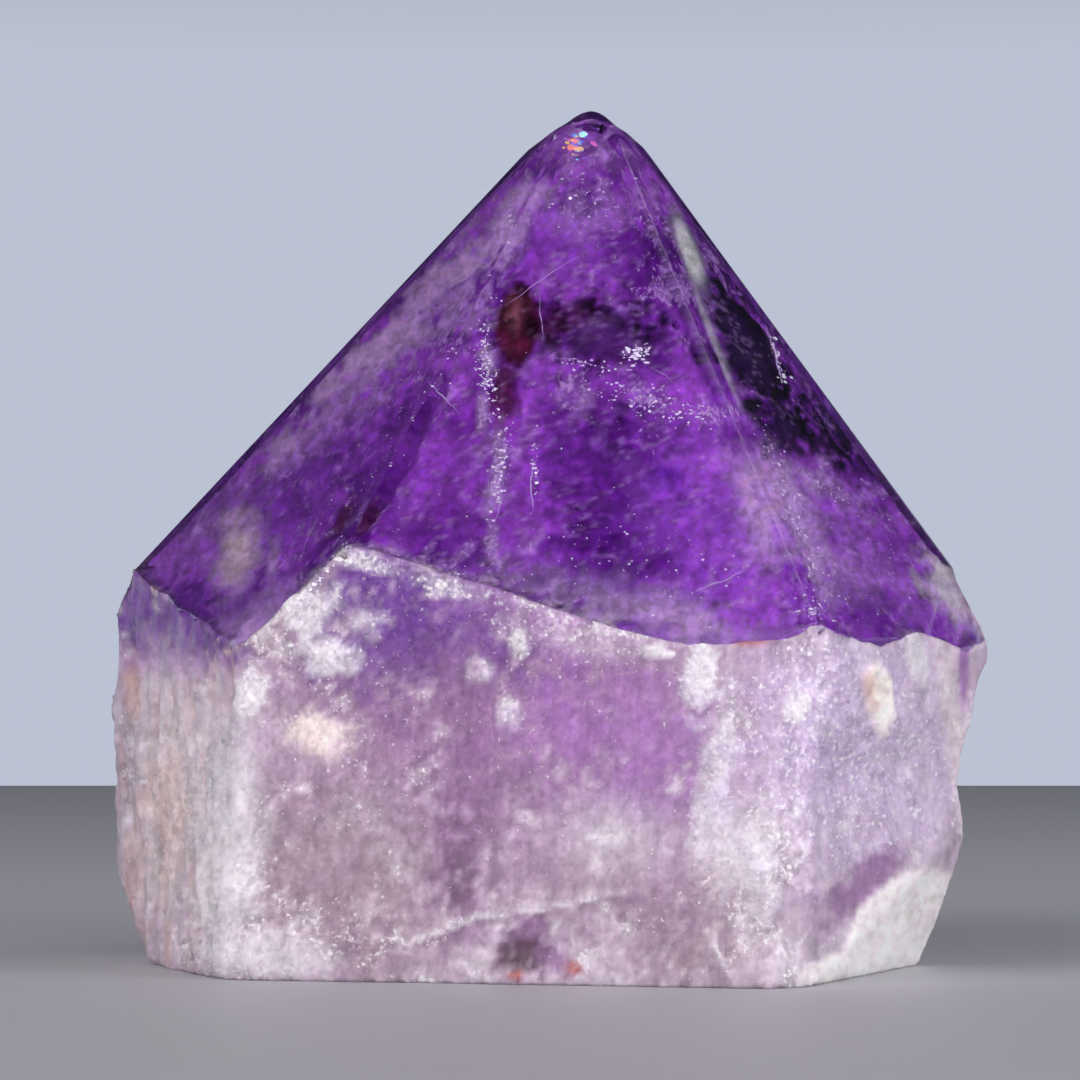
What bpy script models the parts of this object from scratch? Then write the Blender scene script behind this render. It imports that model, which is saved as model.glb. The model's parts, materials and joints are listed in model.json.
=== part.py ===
"""A polished amethyst point: one quartz crystal with six ground facets over rough natural sides.

The build follows the stone. A raw crystal is split out of a block, its natural sides are roughened,
its corners are broken off, and then the six facets are ground flat and meet at a worn tip.
Lengths are in metres, +Z is up and the front of the stone faces -Y. A bearing is measured in degrees
from the front, positive towards +X, and a rise is how far an outward normal tilts up.
"""

import math
from typing import NamedTuple

import bmesh
import bpy
from mathutils import Vector, noise

MM = 0.001
NAME = "amethyst_point"

BLOCK_SIZE = Vector((90, 80, 90)) * MM
APEX = Vector((3.1, 2.5, 64.26)) * MM  # where the facet planes would meet if the tip were sharp
RAW_ALLOWANCE = 2.0 * MM  # stone left on the point for the facets to be ground out of

WELD = 0.07 * MM  # points closer than this along a cut are made one
ROUGH_GRID = 2.2 * MM  # longest edge on the natural sides and the breaks
ARRIS_WEAR = 1.6 * MM  # how much a square edge between two natural sides would lose
CREASE_WEAR = 0.45 * MM  # width of the worn strip along an edge between two facets

TIP_REACH = 5.8 * MM  # how far below the sharp apex the tip is rounded
TIP_GRID = 1.1 * MM  # longest edge on the rounded tip
TIP_WEAR = 0.78 * MM  # how blunt the tip is
EDGE_WEAR = 0.10 * MM  # how blunt the facet edges are where the rounding of the tip runs out
HEART_DEPTH = 14.0 * MM  # the rounding is measured along rays from this far below the apex

RIB_SPACING = 1.5  # the natural relief repeats at these sizes, in millimetres
RIB_LENGTH = 13.0
LUMP_SIZE = 5.5
LEDGE_SIZE = 10.0
LEDGE_RISE = 5.0
LEDGE_COUNT = 2.4

FLANK_BEARING = 88.0  # the right flank has a lip under its facets and a waist below the lip
LIP_HEIGHT = 21.8 * MM
LIP_WIDTH = 2.6 * MM
LIP_DEPTH = 0.25
WAIST_HEIGHT = 13.4 * MM
WAIST_WIDTH = 3.0 * MM
WAIST_DEPTH = 1.75

COLOUR = (0.30, 0.12, 0.55, 1.0)
ROUGHNESS = 0.18


class Facet(NamedTuple):
    """One ground facet. Its plane passes through the sharp apex."""

    bearing: float
    rise: float


class Side(NamedTuple):
    """One natural side: its plane, a point on it in millimetres, and the height of its relief."""

    bearing: float
    rise: float
    through: tuple
    ribs: float
    lumps: float
    ledges: float


FACETS = {
    "front": Facet(-0.9, 33.6),
    "front_right": Facet(56.8, 33.6),
    "back_right": Facet(116.0, 30.0),
    "back": Facet(178.0, 35.0),
    "back_left": Facet(-120.0, 41.7),
    "front_left": Facet(-59.5, 36.8),
}

SIDES = {
    "front_wide": Side(-14.0, -4.0, (9.0, -25.6, 22.1), 0.05, 0.28, 0.10),
    "front_narrow": Side(4.0, 0.8, (9.0, -25.6, 22.1), 0.08, 0.45, 0.20),
    "right": Side(57.0, -4.0, (17.7, -24.9, 23.3), 0.20, 0.55, 0.40),
    "back_right": Side(112.0, -7.0, (30.8, -2.7, 24.5), 0.30, 0.70, 0.60),
    "back": Side(172.0, -1.0, (0.0, 22.7, 20.0), 0.25, 0.60, 0.60),
    "back_left": Side(-128.0, 2.0, (-34.0, 8.5, 27.0), 0.35, 0.50, 0.45),
    "left": Side(-69.0, 1.3, (-20.8, -19.3, 21.8), 0.42, 0.35, 0.15),
}

BREAKS = {
    "left_foot": Side(-84.0, -22.4, (-32.0, 7.0, 6.6), 0.15, 0.35, 0.15),
    "right_scoop": Side(67.8, -25.0, (27.5, -8.8, 9.3), 0.0, 0.25, 0.0),
    "right_foot": Side(80.0, -40.0, (27.9, -3.0, 2.4), 0.0, 0.15, 0.0),
    "front_corner": Side(30.5, -1.8, (17.2, -24.4, 23.3), 0.10, 0.45, 0.15),
    "right_shoulder": Side(84.0, 21.0, (29.8, -2.5, 25.4), 0.05, 0.25, 0.10),
}

ROUGH = {**SIDES, **BREAKS}


def direction(bearing, rise):
    """The unit vector that points along a bearing and a rise."""
    turn = math.radians(bearing)
    lift = math.radians(rise)
    return Vector((math.sin(turn) * math.cos(lift), -math.cos(turn) * math.cos(lift), math.sin(lift)))


def smooth_step(low, high, value):
    """0 below low, 1 above high, and a smooth rise between."""
    part = min(max((value - low) / (high - low), 0.0), 1.0)
    return part * part * (3.0 - 2.0 * part)


def swell(value, middle, width):
    """A smooth bump of height 1 about a middle value."""
    return math.exp(-(((value - middle) / width) ** 2))


def terraces(value):
    """Turns a slow slope into flat treads with short risers."""
    tread = math.floor(value)
    return tread + smooth_step(0.3, 0.7, value - tread)


def clear_scene():
    for obj in list(bpy.data.objects):
        bpy.data.objects.remove(obj, do_unlink=True)


def split_off(bm, point, normal):
    """Removes what lies beyond a plane and closes the cut with a flat face."""
    everything = bm.verts[:] + bm.edges[:] + bm.faces[:]
    cut = bmesh.ops.bisect_plane(
        bm, geom=everything, dist=1e-7, plane_co=point, plane_no=normal, clear_outer=True
    )
    rim = [item for item in cut["geom_cut"] if isinstance(item, bmesh.types.BMEdge)]
    if rim:
        bmesh.ops.holes_fill(bm, edges=rim, sides=0)


def faces_towards(bm, planes):
    """The faces that look along the normal of any of some planes."""
    normals = [direction(plane.bearing, plane.rise) for plane in planes]
    return [face for face in bm.faces if any(face.normal.dot(n) > 0.99999 for n in normals)]


def raw_crystal():
    """The crystal before grinding: flat sides, flat breaks and an oversize point."""
    bm = bmesh.new()
    bmesh.ops.create_cube(bm, size=1.0)
    bmesh.ops.scale(bm, verts=bm.verts, vec=BLOCK_SIZE)
    bmesh.ops.translate(bm, verts=bm.verts, vec=(0, 0, BLOCK_SIZE.z / 2))
    for side in SIDES.values():
        split_off(bm, Vector(side.through) * MM, direction(side.bearing, side.rise))
    for facet in FACETS.values():
        normal = direction(facet.bearing, facet.rise)
        split_off(bm, APEX + normal * RAW_ALLOWANCE, normal)
    return bm


def break_corners(bm):
    for side in BREAKS.values():
        split_off(bm, Vector(side.through) * MM, direction(side.bearing, side.rise))


def inner_edges(faces):
    """The edges inside the flat regions of some faces, which can be turned without a change of shape."""
    chosen = set(faces)
    return [
        edge
        for edge in {edge for face in faces for edge in face.edges}
        if len(edge.link_faces) == 2
        and set(edge.link_faces) <= chosen
        and edge.link_faces[0].normal.dot(edge.link_faces[1].normal) > 0.999999
    ]


def refine(bm, choose, longest):
    """Splits the chosen faces into even triangles that have no edge over a length."""
    step = max(edge.calc_length() for face in choose(bm) for edge in face.edges)
    while step > longest:
        step = max(step / 1.5, longest)
        for _ in range(4):
            long_edges = {e for face in choose(bm) for e in face.edges if e.calc_length() > step}
            if not long_edges:
                break
            bmesh.ops.subdivide_edges(bm, edges=list(long_edges), cuts=1)
            bmesh.ops.triangulate(bm, faces=[face for face in choose(bm) if len(face.verts) > 3])
            faces = choose(bm)
            bmesh.ops.beautify_fill(bm, faces=faces, edges=inner_edges(faces), method="ANGLE")


def rough_faces(bm):
    """All faces but the flat base and the raw point."""
    lowest_point_face = min(facet.rise for facet in FACETS.values())
    top = math.sin(math.radians(lowest_point_face - 1.0))
    return [face for face in bm.faces if -0.99 < face.normal.z < top]


def strengths(normal):
    """How ribbed, lumpy and stepped the stone is where it faces a direction."""
    facing = [max(normal.dot(direction(side.bearing, side.rise)), 0.0) ** 60 for side in ROUGH.values()]
    total = sum(facing)
    return [
        sum(weight * getattr(side, kind) for weight, side in zip(facing, ROUGH.values())) / total
        for kind in ("ribs", "lumps", "ledges")
    ]


def relief(point, outward, normal):
    """How far the rough stone stands out from its flat sides at a point, in metres."""
    ribs, lumps, ledges = strengths(normal)
    at = point / MM
    rib = noise.noise((at.x / RIB_SPACING, at.y / RIB_SPACING, at.z / RIB_LENGTH))
    lump = noise.fractal(at / LUMP_SIZE, 1.0, 2.0, 3)
    ledge = noise.noise((at.x / LEDGE_SIZE, at.y / LEDGE_SIZE, at.z / LEDGE_RISE))
    height = rib * ribs + lump * lumps + terraces(ledge * LEDGE_COUNT) / LEDGE_COUNT * ledges
    flank = smooth_step(0.55, 0.95, outward.dot(direction(FLANK_BEARING, 0.0)))
    height += flank * LIP_DEPTH * swell(point.z, LIP_HEIGHT, LIP_WIDTH)
    height -= flank * WAIST_DEPTH * swell(point.z, WAIST_HEIGHT, WAIST_WIDTH)
    return height * MM


def roughen(bm):
    """Moves the refined sides and breaks in and out, level, so that the base stays flat."""
    bm.normal_update()
    rough = set(rough_faces(bm))
    moved = []
    for vert in bm.verts:
        if rough.isdisjoint(vert.link_faces):
            continue
        faces = [face for face in vert.link_faces if face in rough]
        normal = sum((face.normal * face.calc_area() for face in faces), Vector()).normalized()
        turn = 1.0 - min(normal.dot(face.normal) for face in faces)
        outward = Vector((normal.x, normal.y, 0.0)).normalized()
        height = relief(vert.co, outward, normal) - ARRIS_WEAR * turn
        moved.append((vert, vert.co + outward * height))
    for vert, place in moved:
        vert.co = place


def grind_facets(bm):
    for facet in FACETS.values():
        split_off(bm, APEX, direction(facet.bearing, facet.rise))
    bmesh.ops.remove_doubles(bm, verts=bm.verts, dist=WELD)
    bm.normal_update()


def wear_creases(bm):
    """Rounds the edges between the facets."""
    ground = set(faces_towards(bm, FACETS.values()))
    creases = [edge for edge in bm.edges if set(edge.link_faces) <= ground]
    bmesh.ops.bevel(
        bm,
        geom=creases,
        offset=CREASE_WEAR,
        offset_type="WIDTH",
        segments=2,
        profile=0.5,
        affect="EDGES",
    )


def bluntness(point, wear):
    """How far a point lies outside the facets once their edges are blunted."""
    heights = [direction(f.bearing, f.rise).dot(point - APEX) for f in FACETS.values()]
    highest = max(heights)
    return highest + wear * math.log(sum(math.exp((height - highest) / wear) for height in heights))


def round_tip(bm):
    """Wears the tip to a small dome that runs out into the facets and their edges."""
    floor = APEX.z - TIP_REACH
    everything = bm.verts[:] + bm.edges[:] + bm.faces[:]
    bmesh.ops.bisect_plane(bm, geom=everything, dist=1e-7, plane_co=(0, 0, floor), plane_no=(0, 0, 1))

    def tip_faces(mesh):
        return [face for face in mesh.faces if face.calc_center_median().z > floor]

    bmesh.ops.triangulate(bm, faces=tip_faces(bm))
    refine(bm, tip_faces, TIP_GRID)
    heart = APEX - Vector((0, 0, HEART_DEPTH))
    for vert in bm.verts:
        if vert.co.z <= floor + 1e-7:
            continue
        share = smooth_step(0.0, 1.0, (vert.co.z - floor) / (TIP_REACH * 0.6))
        wear = EDGE_WEAR + (TIP_WEAR - EDGE_WEAR) * share
        ray = vert.co - heart
        inside, outside = 0.5, 1.1
        for _ in range(30):
            middle = (inside + outside) / 2
            if bluntness(heart + ray * middle, wear) > 0:
                outside = middle
            else:
                inside = middle
        vert.co = vert.co.lerp(heart + ray * inside, min(share * 4.0, 1.0))


def seat(bm):
    """Puts the middle of the crystal's box over the origin and its base on the ground."""
    low = Vector([min(vert.co[axis] for vert in bm.verts) for axis in range(3)])
    high = Vector([max(vert.co[axis] for vert in bm.verts) for axis in range(3)])
    middle = (low + high) / 2
    bmesh.ops.translate(bm, verts=bm.verts, vec=(-middle.x, -middle.y, -low.z))


def amethyst_material():
    material = bpy.data.materials.new("amethyst")
    material.use_nodes = True
    shader = material.node_tree.nodes["Principled BSDF"]
    shader.inputs["Base Color"].default_value = COLOUR
    shader.inputs["Roughness"].default_value = ROUGHNESS
    shader.inputs["Metallic"].default_value = 0.0
    return material


def amethyst_point():
    bm = raw_crystal()
    break_corners(bm)
    bmesh.ops.triangulate(bm, faces=rough_faces(bm))
    refine(bm, rough_faces, ROUGH_GRID)
    roughen(bm)
    grind_facets(bm)
    wear_creases(bm)
    round_tip(bm)
    bmesh.ops.remove_doubles(bm, verts=bm.verts, dist=WELD)
    bmesh.ops.triangulate(bm, faces=[face for face in bm.faces if len(face.verts) > 3])
    bmesh.ops.dissolve_degenerate(bm, edges=bm.edges, dist=WELD)
    seat(bm)
    mesh = bpy.data.meshes.new(NAME)
    bm.to_mesh(mesh)
    bm.free()
    mesh.shade_smooth()
    mesh.set_sharp_from_angle(angle=math.radians(24))
    mesh.materials.append(amethyst_material())
    return bpy.data.objects.new(NAME, mesh)


def main():
    clear_scene()
    parts = bpy.data.collections.new("amethyst point")
    bpy.context.scene.collection.children.link(parts)
    parts.objects.link(amethyst_point())


main()
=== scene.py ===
"""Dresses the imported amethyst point: cloudy quartz below and inside, clear violet quartz over it."""

import colorsys
import json
import math
import random
from typing import NamedTuple

import bpy
import numpy as np
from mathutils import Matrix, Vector, noise
from mathutils.kdtree import KDTree

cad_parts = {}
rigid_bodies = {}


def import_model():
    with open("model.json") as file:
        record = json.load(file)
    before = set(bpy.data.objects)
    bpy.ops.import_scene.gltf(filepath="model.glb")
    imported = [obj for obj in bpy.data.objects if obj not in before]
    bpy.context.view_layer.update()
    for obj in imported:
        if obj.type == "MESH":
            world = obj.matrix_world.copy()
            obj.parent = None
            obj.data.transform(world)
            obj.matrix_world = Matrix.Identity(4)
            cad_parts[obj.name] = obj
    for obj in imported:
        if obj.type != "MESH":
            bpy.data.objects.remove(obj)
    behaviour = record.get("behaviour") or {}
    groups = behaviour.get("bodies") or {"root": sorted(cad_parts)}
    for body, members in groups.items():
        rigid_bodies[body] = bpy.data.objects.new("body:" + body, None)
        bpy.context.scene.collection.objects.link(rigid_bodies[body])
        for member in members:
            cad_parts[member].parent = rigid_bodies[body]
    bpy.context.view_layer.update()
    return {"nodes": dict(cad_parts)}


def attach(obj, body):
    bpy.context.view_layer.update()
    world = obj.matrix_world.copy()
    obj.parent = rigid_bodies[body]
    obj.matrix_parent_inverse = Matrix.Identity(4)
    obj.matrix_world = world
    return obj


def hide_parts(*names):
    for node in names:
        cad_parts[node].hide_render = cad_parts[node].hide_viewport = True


bl_info = {
    "name": "Amethyst point",
    "version": (1, 0, 0),
    "blender": (4, 5, 0),
    "location": "3D View > Sidebar > Amethyst",
    "description": "Builds the looks of a polished amethyst point around its packed solid",
    "category": "Object",
}

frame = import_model()

MM = 0.001
NODE = "amethyst_point"
BODY = "root"

EYE = Vector((0.076, -291.071, 18.0)) * MM  # the camera, low in front of the stone
EYE_PITCH = 2.45  # degrees above level
HEART = Vector((0.5, 0.5, 15.0)) * MM  # depths inside the stone run towards this point
FACET_COUNT = 6
FACET_RISE = 0.35  # how far up the normal of every polished facet points, at least
SAME_PLANE = 0.9998  # the dot product of two faces' normals is above this on one facet
SMALLEST_FACE = 0.1 * MM**2  # smaller ones don't say where a facet is
TIP_FOOT = 36.0  # millimetres up, above which no natural side is left
QUARTZ_IOR = 1.544

# Heights over a facet's plane, in millimetres. A pair is where something starts and where it is full.
ON_FACET = (-0.14, -0.08)
ON_WORN_RIDGE = (-0.38, -0.30)  # under the nearest facet
BY_NEXT_FACET = (-0.60, -0.50)  # under the facet on the other side of the ridge
RIDGE_WEAR = -0.5  # corners above this under two facets are on a worn ridge
PART_OF_FACET = -0.05
PARALLEL_TO_FACET = -0.2  # for faces whose normal points the facet's way
SAME_WAY = 0.9995  # the dot product from which it does
BELOW_FACETS = (0.15, 0.6)  # down from the facets, where the clear quartz starts to be drawn in

FRONT_FACETS = (-0.2, 0.1)  # how far a normal points back, where a facet stops being seen from the front
FRONT_SIDES = (-0.05, 0.25)  # the same for the natural sides
BASE_BAND = (0.1 * MM, 0.6 * MM)  # the relief starts this far above the base, which stays flat
MOST_OF_ROOM = 0.4  # clouds lie at most this far along the way that sight has inside the stone
CREASE_SNAP = 0.30 * MM  # points this near the lower edge of a facet are moved onto it
CREASE_STEP = 0.06 * MM  # how closely that edge is sampled
RIDGE_CLEARANCE = 1.2 * MM  # points this near the lower edge aren't rounded
RIDGE_BLEND = 0.6 * MM  # how softly sight through one facet gives way to sight through the next
FRONT_SHARE = 0.7  # how far noise is laid out across the front view, where 0 lays it out in space
DEEPEST = 9.0  # millimetres, the most that the clouds are sunk
SMOOTH_ANGLE = math.radians(40)  # the worn ridges and the tip are flatter than this, and shaded smooth


def colour(label, default, about):
    """A colour that the sidebar shows."""
    return bpy.props.FloatVectorProperty(
        name=label, description=about, subtype="COLOR", size=3, min=0.0, max=1.0, default=default
    )


def length(label, default, about):
    """A length that the sidebar shows, given here in millimetres."""
    return bpy.props.FloatProperty(
        name=label, description=about, unit="LENGTH", min=0.0, precision=5, default=default * MM
    )


def factor(label, default, about, most=3.0):
    """A plain number that the sidebar shows."""
    return bpy.props.FloatProperty(name=label, description=about, min=0.0, soft_max=most, default=default)


class AMETHYST_PG_colours(bpy.types.PropertyGroup):
    """Colours of the clouds inside the stone and of its natural sides"""

    deep: colour("Deep violet", (0.18, 0.010, 0.37), "The darkest violet zones under the facets")
    violet: colour("Violet", (0.43, 0.085, 0.72), "The usual colour of the clouds")
    glow: colour("Glow", (0.53, 0.13, 0.90), "The brightest violet, low on the front facet")
    lilac: colour("Lilac", (0.80, 0.53, 1.0), "Veils and lace of tiny bubbles")
    maroon: colour("Maroon", (0.19, 0.014, 0.065), "The red-brown window")
    # painted darkness: stands in for the dark that is seen through the clear quartz
    painted_darkness: colour("Night", (0.030, 0.001, 0.075), "Windows that look through to the dark")
    plum: colour("Plum", (0.15, 0.035, 0.29), "Violet that runs down over the crease")
    milk: colour("Milk", (0.54, 0.43, 0.53), "The usual colour of the natural sides")
    white: colour("White", (0.84, 0.79, 0.85), "Frosted patches")
    cream: colour("Cream", (0.98, 0.85, 0.82), "Warm frosted patches")
    mauve: colour("Mauve", (0.30, 0.15, 0.32), "Dark violet-brown streaks")
    heather: colour("Heather", (0.34, 0.175, 0.36), "The middle of the front side")
    lavender: colour("Lavender", (0.62, 0.49, 0.71), "The right sides")
    orchid: colour("Orchid", (0.40, 0.17, 0.50), "Clear violet patches of the sides")
    smoke: colour("Smoke", (0.38, 0.27, 0.34), "Smoky low patches")
    shell: colour("Shell", (0.98, 0.90, 0.90), "Fresh broken faces")
    rust: colour("Rust", (0.60, 0.33, 0.26), "Iron stains on the left side")
    # a dark stain colour, and also painted shade in the hollow at the base
    umber_stain_and_shade: colour("Umber", (0.10, 0.05, 0.085), "The dark hollow at the base")
    # painted glints: small red-orange spots that stand in for light caught in the stone
    painted_glint: colour("Ember", (0.45, 0.10, 0.07), "Small red-orange glints")
    # the flakes' glints are partly real reflection and partly painted glow from their material
    spark: colour("Spark", (0.95, 0.90, 1.0), "Flakes that catch the light")
    # painted reflection: a pale strip that stands in for the light the worn right ridge mirrors
    painted_reflection: colour("Sheen", (0.86, 0.96, 0.86), "The pale strip beside the right ridge of the front facet")
    crack: colour("Crack", (0.50, 0.34, 0.68), "Thin cracks under the facets")
    glass: colour("Clear quartz", (0.62, 0.26, 0.84), "What the clear quartz lets through")


class AMETHYST_PG_sizes(bpy.types.PropertyGroup):
    """Sizes and strengths of what lies inside the stone"""

    grid: length("Cloud detail", 0.40, "Edge length of the mesh that carries the clouds")
    least_depth: length("Least depth", 0.8, "The thinnest clear quartz over the clouds")
    side_inset: length("Side inset", 2.0, "How far the clear quartz keeps inside the natural sides")
    crack_scale: factor("Crack scale", 1.0, "Thickness of the cracks")
    flake_scale: factor("Flake scale", 1.25, "Size of the flakes")
    tint: factor("Tint", 48.0, "How strongly the clear quartz takes up light", 200.0)


class AMETHYST_PG_stage(bpy.types.PropertyGroup):
    """The floor and the light"""

    floor: colour("Floor", (0.48, 0.48, 0.52), "Colour of the floor")
    wall: colour("Wall", (0.50, 0.54, 0.65), "Colour of the room behind the stone")
    light: factor("Light", 1.0, "Strength of all the lamps")


class Mark(NamedTuple):
    """A patch as it is seen from the front, with lengths in millimetres.

    Its middle is at x and z, wide and tall are half its size, and turn is how far it is turned to the left,
    in degrees.
    Strength is how fully its colour covers, soft how wide its edge is, and rough how ragged the edge is.
    Frost is how grainy it is, and depth is how much deeper its surface lies.
    """

    x: float
    z: float
    wide: float
    tall: float
    turn: float
    colour: str
    strength: float
    soft: float
    rough: float
    frost: float
    depth: float = 0


CLOUD_MARKS = [Mark(*row) for row in (
    # below the tip
    (1.5, 52.5, 5.05, 2.89, 10, "deep", 0.3, 0.7, 0.6, 0, 0.8),
    (3.8, 59, 3.18, 1.88, 0, "lilac", 0.2, 0.8, 1, 0.3, -0.2),
    (1.5, 52.2, 2.89, 1.88, 0, "glow", 0.6, 0.8, 0.8, 0.1, -0.3),
    # rim and veils of the left facet
    (-12.8, 42.1, 20.94, 0.51, 46, "deep", 0.5, 0.7, 0.6, 0, 0.2),
    (-2.8, 53, 3.61, 1.08, 52, "lilac", 0.6, 0.7, 1.3, 0.5, -0.8),
    (-6.1, 48.9, 5.05, 1.44, 50, "lilac", 0.65, 0.6, 1.5, 0.5, -0.9),
    (-10.4, 45, 3.97, 1.44, 48, "lilac", 0.6, 0.6, 1.5, 0.4, -0.7),
    (-15.1, 39.5, 5.05, 1.16, 48, "lilac", 0.5, 0.6, 1.4, 0.4, -0.6),
    # puffs in those veils
    (-7.7, 48.4, 0.87, 1.73, -38, "lilac", 1, 0.5, 1, 0.4, -0.8),
    (-9.2, 46.3, 0.79, 1.59, -30, "lilac", 1, 0.5, 1, 0.4, -0.8),
    (-10.9, 45.1, 0.87, 1.73, -36, "lilac", 1, 0.5, 1, 0.4, -0.8),
    (-13.1, 43.2, 0.72, 1.59, -34, "lilac", 1, 0.5, 1, 0.4, -0.8),
    (-15.6, 40.9, 0.79, 1.59, -36, "lilac", 1, 0.5, 1, 0.3, -0.8),
    (-18.3, 37.3, 0.79, 1.73, -30, "lilac", 1, 0.5, 1, 0.3, -0.8),
    (-5, 50.6, 0.87, 1.59, -40, "lilac", 1, 0.5, 1, 0.4, -0.8),
    # the lower part of the left facet
    (-23.4, 31.6, 4.33, 1.3, 45, "lilac", 0.3, 0.9, 0.9, 0.1, -0.3),
    (-18, 33, 5.78, 1.44, 50, "deep", 0.9, 0.7, 0.8, 0, 1.5),
    (-11.6, 35.6, 5.42, 1.01, 63, "deep", 0.9, 0.6, 0.6, 0, 1.6),
    (-14, 32, 1.88, 0.58, 60, "maroon", 0.7, 0.6, 0.8, 0, 1.2),
    (-25.8, 25.6, 2.6, 1.44, 12, "deep", 1, 0.35, 0.8, 0, 2),
    (-20.9, 26.3, 1.73, 1.01, 30, "deep", 0.7, 0.6, 0.8, 0, 1),
    (-22, 28.7, 8.66, 2.89, 42, "glow", 0.55, 0.8, 0.9, 0.15, -0.3),
    # the pale plume low on the left
    (-21.6, 29.4, 1.73, 3.03, -14, "lilac", 1, 0.5, 0.6, 0.3, -1.8),
    (-21.7, 29.8, 1.16, 2.31, -14, "cream", 0.85, 0.7, 0.6, 0.2),
    (-19.1, 29.1, 0.43, 1.59, -12, "lilac", 0.8, 0.5, 0.4, 0.1, -0.6),
    # its lower edge
    (-20.5, 24.6, 3.61, 1.3, 32, "lilac", 0.9, 0.7, 0.7, 0.3, -1.5),
    (-25.6, 22.9, 2.89, 0.72, 15, "lilac", 0.8, 0.6, 0.8, 0.5, -1.5),
    (-15.7, 28.3, 2.89, 0.36, 45, "white", 0.8, 0.6, 0.8, 0.9, -1.2),
    # the red-brown window
    (-1.7, 46, 1.66, 2.89, 0, "maroon", 1, 0.1, 0.12, 0, 2.6),
    (-2.5, 41.2, 1.01, 2.17, -12, "maroon", 0.8, 0.5, 0.7, 0, 1.2),
    (-2, 47, 0.72, 1.3, 15, "rust", 0.28, 0.7, 1.2, 0.1, -1.2),
    # the dark beside it: painted darkness that stands in for the dark seen through the clear quartz, and
    # red-brown
    (4.6, 45.3, 4.19, 1.88, 0, "painted_darkness", 0.75, 0.5, 0.7, 0, 2.4),
    (1.5, 46.5, 2.17, 1.01, 20, "maroon", 0.6, 0.5, 0.7, 0, 1.5),
    # the front facet
    (-7.9, 35.6, 4.33, 4.33, 0, "violet", 0.8, 0.7, 0.7, 0.1),
    (5.3, 33, 3.75, 6.86, 0, "deep", 0.85, 0.7, 0.7, 0, 1),
    (7.3, 30.5, 3.25, 3.61, 0, "deep", 0.5, 0.6, 0.6, 0, 0.6),
    (12.7, 33, 5.05, 5.42, -8, "glow", 0.95, 0.6, 0.5, 0, -0.6),
    (14.1, 26.2, 5.05, 2.6, -5, "glow", 0.8, 0.6, 0.4, 0, -0.2),
    (16.1, 33, 1.73, 3.75, 12, "lilac", 0.95, 0.7, 0.5, 0.1, -0.8),
    # a band of tiny bubbles across it
    (8.4, 40.3, 5.78, 0.87, -14, "lilac", 0.08, 0.8, 1.8, 0.8, -0.5),
    (7.3, 38.5, 4.33, 1.16, -14, "deep", 0.4, 0.8, 0.8, 0.3, 0.2),
    # its foot
    (5.5, 26, 7.94, 1.16, -13, "white", 0.4, 0.9, 0.9, 0.3, -1.2),
    (8.4, 25.6, 4.33, 1.44, -14, "lilac", 0.75, 0.7, 0.7, 0.2, -0.8),
    (-8.6, 28.9, 5.78, 0.51, -17, "lilac", 0.6, 0.7, 1.6, 0.9, -0.8),
    (1.5, 25.7, 4.33, 0.58, -17, "white", 0.6, 0.7, 1.6, 0.9, -0.8),
    # painted darkness right of the ridge, standing in for the dark seen through the clear quartz, with a
    # violet bar
    (15.1, 44.6, 1.73, 4.33, 26, "painted_darkness", 1, 0.35, 0.8, 0, 3.5),
    (17.4, 38.8, 1.59, 2.17, 20, "painted_darkness", 0.9, 0.35, 0.8, 0, 3.2),
    (21.2, 38.8, 1.88, 3.61, 34, "painted_darkness", 0.95, 0.35, 0.8, 0, 3.2),
    (18.8, 41.7, 0.65, 2.89, 30, "violet", 0.8, 0.5, 0.9, 0.1, -1.5),
    # the right facet
    (24.6, 28, 6.86, 3.32, -45, "glow", 1, 0.8, 0.9, 0.2, -0.6),
    (24.3, 29.1, 4.33, 1.88, -40, "lilac", 0.5, 0.9, 1, 0.2, -0.3),
    (19.3, 31.6, 1.16, 4.33, 18, "lilac", 0.6, 0.8, 0.8, 0.3, -0.8),
    (22.4, 28, 3.32, 1.73, -30, "lilac", 0.5, 0.9, 1, 0.3, -0.8),
    (24.6, 25.5, 3.18, 1.44, -20, "deep", 0.5, 0.8, 0.8, 0, 0.4),
    (20.4, 34.4, 2.89, 0.72, -30, "lilac", 0.6, 0.7, 1.2, 0.8, -0.5),
    (25, 30.2, 4.33, 2.89, -40, "violet", 0.7, 0.7, 0.7, 0.1),
    (29.4, 27.5, 1.44, 2.6, 30, "spark", 1, 0.6, 0.8, 0.2, -1.5),
    (27.1, 27.6, 0.29, 1.3, 24, "white", 0.9, 0.4, 0.5, 0.5, -0.8),
    # bubbles along the right ridge
    (17.3, 35.6, 0.72, 2.89, 22, "lilac", 0.5, 0.7, 1.2, 0.8, -0.3),
    (19.3, 30.5, 1.01, 4.04, 18, "lilac", 0.7, 0.7, 1.1, 0.8, -0.5),
    # the sparkling vein
    (-3.7, 44.1, 0.51, 1.88, 8, "white", 0.6, 0.6, 1.2, 1, -1),
    (-4.1, 39.9, 0.43, 2.17, -4, "white", 0.45, 0.6, 1.2, 0.9, -0.8),
    (-3.1, 35.6, 0.43, 2.45, -6, "white", 0.4, 0.6, 1.2, 0.9, -0.8),
    (-3.4, 30.5, 0.51, 2.45, 4, "white", 0.4, 0.6, 1.2, 0.9, -0.6),
    # a painted reflection: the pale strip beside the right ridge
    (10.8, 51.3, 0.65, 2.89, 21, "painted_reflection", 1, 0.5, 0.2, 0.1, -4),
    (12.6, 44.8, 0.29, 4.77, 21, "painted_reflection", 0.6, 0.6, 0.25, 0.1, -3),
    # haze near the tip
    (3.3, 54, 2.89, 1.59, 0, "lilac", 0.25, 0.8, 1, 0.4, -0.3),
)]

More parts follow.
